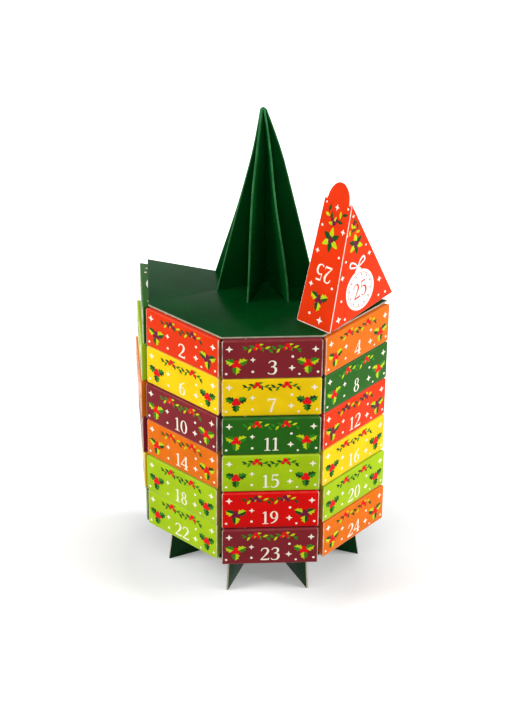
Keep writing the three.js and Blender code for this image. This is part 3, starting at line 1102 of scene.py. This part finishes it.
def build_print_tree():
    tree = bpy.data.node_groups.new("print_marks", "GeometryNodeTree")
    face = tree.interface
    face.new_socket("Points", in_out="INPUT", socket_type="NodeSocketGeometry")
    face.new_socket("Motifs", in_out="INPUT", socket_type="NodeSocketCollection")
    for name in INK_SOCKETS:
        face.new_socket(name, in_out="INPUT", socket_type="NodeSocketMaterial")
    face.new_socket("Print", in_out="OUTPUT", socket_type="NodeSocketGeometry")
    given = tree.nodes.new("NodeGroupInput").outputs

    def read(name, kind):
        reader = add_node(tree, "GeometryNodeInputNamedAttribute", {"Name": name})
        reader.data_type = kind
        return reader.outputs["Attribute"]

    motifs = add_node(tree, "GeometryNodeCollectionInfo", {
        "Collection": given["Motifs"], "Separate Children": True, "Reset Children": True,
    })
    angles = add_node(tree, "ShaderNodeCombineXYZ", {"Z": read("turned", "FLOAT")})
    join = tree.nodes.new("GeometryNodeJoinGeometry")
    for ink, socket in enumerate(INK_SOCKETS):
        same = tree.nodes.new("FunctionNodeCompare")
        same.data_type = "INT"
        same.operation = "EQUAL"
        feed(same, {2: read("ink", "INT"), 3: ink})
        place = add_node(tree, "GeometryNodeInstanceOnPoints", {
            "Points": given["Points"],
            "Selection": same.outputs["Result"],
            "Instance": motifs.outputs["Instances"],
            "Pick Instance": True,
            "Instance Index": read("motif", "INT"),
            "Rotation": angles.outputs["Vector"],
            "Scale": read("size", "FLOAT_VECTOR"),
        })
        real = add_node(tree, "GeometryNodeRealizeInstances", {0: place.outputs["Instances"]})
        inked = {"Geometry": real.outputs["Geometry"], "Material": given[socket]}
        inked_marks = add_node(tree, "GeometryNodeSetMaterial", inked)
        feed(join, {0: inked_marks.outputs["Geometry"]})
    add_node(tree, "NodeGroupOutput", {"Print": join.outputs["Geometry"]})
    return tree


PRINT_TREE = build_print_tree()
# Every input but the first, which takes the points themselves
PRINT_INPUTS = [s.identifier for s in PRINT_TREE.interface.items_tree if s.in_out == "INPUT"][1:]

# %% Printing one face
PRINT_SINK = 0.03


def print_face(marks, colour):
    """A flat print in millimetres, in the X and Y of its face, sunk a hair into it."""
    mesh = bpy.data.meshes.new("marks")
    mesh.from_pydata([(m.u, m.v, -PRINT_SINK) for m in marks], [], [])
    for name, kind, values in (
        ("motif", "INT", [m.motif for m in marks]),
        ("ink", "INT", [m.ink for m in marks]),
        ("turned", "FLOAT", [m.turned for m in marks]),
    ):
        mesh.attributes.new(name, kind, "POINT").data.foreach_set("value", values)
    sizes = [v for m in marks for v in (m.along, m.across, m.height + PRINT_SINK)]
    mesh.attributes.new("size", "FLOAT_VECTOR", "POINT").data.foreach_set("vector", sizes)
    obj = new_object("marks", mesh)
    modifier = obj.modifiers.new("print", "NODES")
    modifier.node_group = PRINT_TREE
    given = (MOTIFS, *(inks[name] for name in INKS_ON[colour]), boards[colour], inks["white"])
    for identifier, value in zip(PRINT_INPUTS, given):
        modifier[identifier] = value
    done = baked(obj)
    bpy.data.objects.remove(obj)
    bm = bmesh.new()
    bm.from_mesh(done)
    bmesh.ops.recalc_face_normals(bm, faces=[f for f in bm.faces if f.calc_area() > 0])
    bm.to_mesh(done)
    bm.free()
    return done


def face_frame(origin, across, upward):
    """The matrix from a face's own X and Y to the carton's axes."""
    return axes_matrix(across, upward, Vector(across).cross(Vector(upward)), origin)


BROAD = face_frame((CARTON_DEPTH, 0, 0), (0, 1, 0), (0, 0, 1))
UPPER = face_frame((CARTON_DEPTH, 0, CARTON_HEIGHT), (0, 1, 0), (-1, 0, 0))
UNDER = face_frame((CARTON_DEPTH, 0, 0), (0, -1, 0), (-1, 0, 0))
LID = face_frame(
    (CARTON_DEPTH, -CARTON_WIDTH / 2, CARTON_HEIGHT / 2),
    (0, 0, 1),
    (-math.cos(HALF), math.sin(HALF), 0),
)


def on_broad_face(mesh):
    """Sets a flat print on the broad face and lets it follow the swell."""
    mesh.transform(BROAD)
    for vert in mesh.vertices:
        vert.co.x += swell(vert.co.y, vert.co.z)
    return mesh


def placed(mesh, matrix):
    mesh.transform(matrix)
    return mesh


def pinched(mesh):
    """Carton 25 is open at one side, so its outer face leans in towards the tip."""
    for vert in mesh.vertices:
        towards_tip = 1 - vert.co.x / CARTON_DEPTH
        vert.co.z -= LAST_PINCH * towards_tip * vert.co.z / CARTON_HEIGHT
    return mesh


def join_pieces(name, meshes, matrix):
    """One object from several meshes, with each one's materials kept, set in its place."""
    objects = [new_object(name, meshes[0])]
    objects += [new_object(name + "_part", mesh) for mesh in meshes[1:]]
    with bpy.context.temp_override(
        active_object=objects[0], selected_objects=objects, selected_editable_objects=objects
    ):
        bpy.ops.object.join()
    objects[0].data.transform(matrix)
    return objects[0]


# %% [markdown]
# ## Cartons 1 to 24
#
# Each carton is a copy of the same blank in its own board colour, with its print set on
# the broad face and on the upper triangle face, which shows when it is pulled out.

# %% Dress the tower's cartons
STACKED = range(1, 25)
for n in STACKED:
    row, column = bay_of(n)
    colour = CARTON_COLOURS[row][column]
    card = CARTON_MESH.copy()
    card.materials[0] = boards[colour]
    parts = [
        card,
        on_broad_face(print_face(broad_face(str(n)), colour)),
        placed(print_face(triangle_face(str(n)), colour), UPPER),
    ]
    name = f"carton_{n:02d}"
    piece = join_pieces(name + "_card", parts, bay_place(n))
    finish_piece(piece, name, name)
print("cartons dressed: 24, faces each:", len(piece.data.polygons))

# %% [markdown]
# ## Carton 25 and its lid
#
# The last carton stands on its broad face with one side open: the side panel is its lid.
# The lid is cut from the same board, so its rim shows the pale core, and its round tuck
# tab stays untucked above the tip.

# %% Body of carton 25
STRIP_WIDTH = 3
OVERCUT = 1


def side_strip(thickness, far_x):
    """What is cut away along the open side, from beyond the tip to far_x."""
    def inner(x):
        return -x * math.tan(HALF) + thickness / math.cos(HALF)
    near_x = -CARTON_TIP
    outline = [(x, inner(x) - STRIP_WIDTH) for x in (near_x, far_x)]
    outline += [(x, inner(x)) for x in (far_x, near_x)]
    return flat_solid(outline, CARTON_HEIGHT + 2 * OVERCUT, -OVERCUT)


last = new_object("carton_25_cut", CARTON_MESH.copy())
last.data.materials[0] = boards["scarlet"]
cut(last, side_strip(CARD + SLIP, CARTON_DEPTH - CARD))
parts = [
    last.data,
    placed(print_face(triangle_face("25"), "scarlet"), UPPER),
    placed(print_face(triangle_face("25"), "scarlet"), UNDER),
    on_broad_face(print_face(broad_face("25"), "scarlet")),
]
bpy.data.objects.remove(last)
body_25 = join_pieces("carton_25_card", [pinched(part) for part in parts], standing_place())
finish_piece(body_25, "carton_25", "carton_25")


# %% Lid of carton 25
LID_LENGTH = (CARTON_DEPTH - TIP_X) / math.cos(HALF)
LID_START = (CARD + SLIP) / math.cos(HALF)
LID_BEVEL = 0.22
LID_MARGIN = 0.14
TAB_STEPS = 24


def lid_mesh():
    """The lid as a flat panel with a round tab, its rim left as raw card."""
    middle = CARTON_HEIGHT / 2
    outline = [(-middle, LID_START), (middle, LID_START), (middle, LID_LENGTH)]
    for i in range(TAB_STEPS + 1):
        a = math.pi * i / TAB_STEPS
        outline.append((TAB_HALF * math.cos(a), LID_LENGTH + TAB_LENGTH * math.sin(a)))
    outline.append((-middle, LID_LENGTH))
    bm = flat_solid(outline, CARD, -CARD)
    bm.verts.layers.float.new("fold")
    soften(bm, 1, LID_BEVEL)
    for face in bm.faces:
        z = face.normal.z
        face.material_index = 0 if z > 0.95 else (1 if z < -0.95 else 2)
    printed = [f for f in bm.faces if f.material_index == 0]
    margin = bmesh.ops.inset_region(bm, faces=printed, thickness=LID_MARGIN)
    for face in margin["faces"]:
        face.material_index = 2
    split_ngons(bm)
    return mesh_from(bm, "lid", (boards["scarlet"], card_inside, card_edge))


parts = [placed(lid_mesh(), LID), placed(print_face(lid_face("25"), "scarlet"), LID)]
lid = join_pieces("carton_25_lid_panel", [pinched(part) for part in parts], standing_place())
finish_piece(lid, "carton_25_lid", "carton_25_lid")
print("lid faces:", len(lid.data.polygons))

# %% [markdown]
# ## Tea bags
#
# Each carton holds a pyramid bag of thin filter mesh. It is soft, so one bag is inflated
# with a short cloth simulation and then copied. The simulation runs at twenty times life
# size, because cloth this small would hardly stir in twenty frames. No point may move
# more than a set distance, and the foot stays flat, as it rests on the card.

# %% One inflated bag
BAG_SIDE = 40.0
BAG_HEIGHT = 24.5
BAG_PLACE = 61.0
BAG_START = 0.96
BAG_GIVE = 2.2
BAG_MESH_STEP = 2.25
SIM_SCALE = 0.02
SIM_FRAMES = 20

# Carton 25 stands, so its bag has slid down. These are its middle's height above the
# inside of the broad face, and its gap to the triangle face.
LAST_BAG_MIDDLE = 14.4
LAST_BAG_GAP = 1


def bag_blank():
    """A pyramid on a triangle, pointing its first corner along -X, a little small."""
    bm = bmesh.new()
    reach = BAG_SIDE * BAG_START / math.sqrt(3)
    corners = [
        bm.verts.new((reach * math.cos(a), reach * math.sin(a), 0))
        for a in (math.pi, math.pi * 5 / 3, math.pi / 3)
    ]
    top = bm.verts.new((0, 0, BAG_HEIGHT * BAG_START))
    bm.faces.new(corners[::-1])
    for a, b in zip(corners, corners[1:] + corners[:1]):
        bm.faces.new((a, b, top))
    bmesh.ops.recalc_face_normals(bm, faces=bm.faces)
    return mesh_from(bm, "tea_bag")


def inflated(mesh):
    """Inflates a small closed mesh as cloth. In and out in millimetres."""
    mesh.transform(Matrix.Scale(SIM_SCALE, 4))
    bag = new_object("bag_cloth", mesh)
    remesh = bag.modifiers.new("even_mesh", "REMESH")
    remesh.mode = "VOXEL"
    remesh.voxel_size = BAG_MESH_STEP * SIM_SCALE
    baked(bag)
    before = [vert.co.copy() for vert in bag.data.vertices]
    cloth = bag.modifiers.new("filter_cloth", "CLOTH")
    cloth.settings.use_pressure = True
    cloth.settings.uniform_pressure_force = 4
    cloth.settings.effector_weights.gravity = 0
    cloth.settings.mass = 0.05
    cloth.settings.tension_stiffness = 8
    cloth.settings.compression_stiffness = 8
    cloth.settings.bending_stiffness = 0.3
    cloth.point_cache.frame_start = 1
    cloth.point_cache.frame_end = SIM_FRAMES
    for frame_number in range(1, SIM_FRAMES + 1):
        bpy.context.scene.frame_set(frame_number)
    baked(bag)
    bpy.context.scene.frame_set(1)
    give = BAG_GIVE * SIM_SCALE
    most = 0.0
    for vert, start in zip(bag.data.vertices, before):
        step = vert.co - start
        if step.length > give:
            step *= give / step.length
        vert.co = start + step
        vert.co.z = max(vert.co.z, 0.0)
        most = max(most, step.length / SIM_SCALE)
    smooth = bag.modifiers.new("smooth", "SUBSURF")
    smooth.levels = 1
    done = baked(bag)
    done.transform(Matrix.Scale(1 / SIM_SCALE, 4))
    bpy.data.objects.remove(bag)
    print(f"tea bag: {len(done.vertices)} points, moved up to {most:.2f} mm")
    return done


def filter_mesh_finish():
    """Pale filter mesh, with the tea inside showing through in patches."""
    material, tree, shader = new_material("tea_filter_mesh")
    tea = add_range(add_noise(tree, 520, 4), (0.42, 0.62))
    feed(shader, {
        "Base Color": add_mix(tea, linear("efe7d4"), linear("8a6a3c")),
        "Normal": add_bump(add_noise(tree, 1800, 2), 0.5, 0.0003),
        "Roughness": 0.9,
        "Specular IOR Level": 0.05,
    })
    return material


BAG_MESH = inflated(bag_blank())
BAG_MESH.materials.append(filter_mesh_finish())


# %% A bag in each carton
def add_bag(number, carton_place, x, z):
    piece = new_object(f"tea_bag_{number:02d}_soft", BAG_MESH.copy())
    piece.data.transform(carton_place @ Matrix.Translation((x, 0, z)))
    body = f"carton_{number:02d}"
    finish_piece(piece, body, f"tea_bag_{number:02d}", 60)


BAG_FOOT = CARD + SLIP
for n in STACKED:
    add_bag(n, bay_place(n), BAG_PLACE, BAG_FOOT)
last_x = CARTON_DEPTH - CARD - SLIP - LAST_BAG_MIDDLE
add_bag(25, standing_place(), last_x, BAG_FOOT + LAST_BAG_GAP)
print("tea bags: 25")

# %% [markdown]
# ## Floor, light and background
#
# The photograph is a studio shot on white. The floor is a plain pale sheet. It keeps the
# soft shadow that the lamps cast near the legs. Its glow for the background rays is least
# near the tower, which paints a shadow oval round the base, and further out it shows the
# camera a lifted white. The world is white to the camera too. Gloss reflects that same
# white, but its light never reaches the cards, so their colours stay.

# %% Rays that see the white background
def background_rays(tree):
    """1 for camera, glossy and transmission rays, and 0 for the rays that carry light."""
    rays = tree.nodes.new("ShaderNodeLightPath").outputs
    mirrored = add_math("MAXIMUM", rays["Is Glossy Ray"], rays["Is Transmission Ray"])
    return add_math("MAXIMUM", rays["Is Camera Ray"], mirrored)


def finish_surface(output, lit, shown):
    """Gives the lit shader to the rays that carry light, and the shown one to the rest."""
    tree = lit.id_data
    mix = add_node(tree, "ShaderNodeMixShader", {0: background_rays(tree), 1: lit, 2: shown})
    add_node(tree, output, {"Surface": mix.outputs[0]})


# %% Floor
FLOOR_HALF = 6
FLOOR_COLOUR = (0.8, 0.8, 0.8, 1)

# The oval that the glow follows, and with it the painted shadow: the floor's X and Y are scaled,
# and then moved
OVAL_SCALE = (1, 1.35, 0)
OVAL_SHIFT = (0, 0.0675, 0)

# Distance from the middle, as a share of GLOW_REACH, and the white that the camera sees
# there beside the lit floor. The low stops near the tower paint a shadow oval, darkest at
# the second stop. The ramp's own last stop is full white.
GLOW_REACH = 0.5
GLOW_AND_PAINTED_SHADOW = ((0.08, 0.27), (0.19, 0.13), (0.31, 0.3), (0.4, 0.32))


def floor_finish():
    """A matte sheet, with a white glow for the background rays that paints a shadow oval near the
    middle and grows to white outwards.
    """
    material, tree, _ = new_material("floor_white_painted_shadow")
    tree.nodes.clear()
    matte = add_node(tree, "ShaderNodeBsdfDiffuse", {"Color": FLOOR_COLOUR}).outputs[0]
    spot = tree.nodes.new("ShaderNodeTexCoord").outputs["Object"]
    flattened = tree.nodes.new("ShaderNodeVectorMath")
    flattened.operation = "MULTIPLY_ADD"
    feed(flattened, {0: spot, 1: OVAL_SCALE, 2: OVAL_SHIFT})
    radius = add_node(tree, "ShaderNodeVectorMath", {0: flattened.outputs[0]})
    radius.operation = "LENGTH"
    share = add_range(radius.outputs["Value"], (0, GLOW_REACH))
    ramp = add_node(tree, "ShaderNodeValToRGB", {0: share})
    stops = ramp.color_ramp.elements
    for place, white in GLOW_AND_PAINTED_SHADOW:
        stops.new(place).color = (white, white, white, 1)
    stops.remove(stops[0])
    glow = add_node(tree, "ShaderNodeEmission", {"Strength": ramp.outputs["Color"]}).outputs[0]
    total = add_node(tree, "ShaderNodeAddShader", {0: matte, 1: glow}).outputs[0]
    finish_surface("ShaderNodeOutputMaterial", matte, total)
    return material


corners = [(x * FLOOR_HALF, y * FLOOR_HALF, 0) for x, y in ((-1, -1), (1, -1), (1, 1), (-1, 1))]
floor_mesh = bpy.data.meshes.new("floor")
floor_mesh.from_pydata(corners, [], [(0, 1, 2, 3)])
floor_mesh.materials.append(floor_finish())
floor = new_object("floor", floor_mesh)


# %% World
def add_white(tree, strength):
    inputs = {"Color": (1, 1, 1, 1), "Strength": strength}
    return add_node(tree, "ShaderNodeBackground", inputs).outputs[0]


FILL_LIGHT = 0.25
world = bpy.data.worlds.new("studio")
bpy.context.scene.world = world
world.use_nodes = True
wt = world.node_tree
wt.nodes.clear()
finish_surface("ShaderNodeOutputWorld", add_white(wt, FILL_LIGHT), add_white(wt, 1.0))

# %% Softboxes
CENTRE = Vector((0, -0.04, 0.16))
# Name, place, side in metres and power in watts
SOFTBOXES = (
    ("left_softbox", (-1.63, -0.87, 1.2), 1.0, 36),
    ("right_softbox", (1.77, 0.31, 0.9), 1.0, 35),
    ("front_top_softbox", (0.35, -1.3, 1.9), 1.2, 14),
    ("back_softbox", (-0.75, 2.0, 1.0), 1.6, 3.0),
)
for name, place, size, energy in SOFTBOXES:
    light = bpy.data.lights.new(name, "AREA")
    light.shape = "SQUARE"
    light.size = size
    light.energy = energy
    lamp = new_object(name, light)
    lamp.location = place
    lamp.rotation_euler = (CENTRE - Vector(place)).to_track_quat("-Z", "Y").to_euler()
bpy.context.scene.view_settings.view_transform = "Standard"
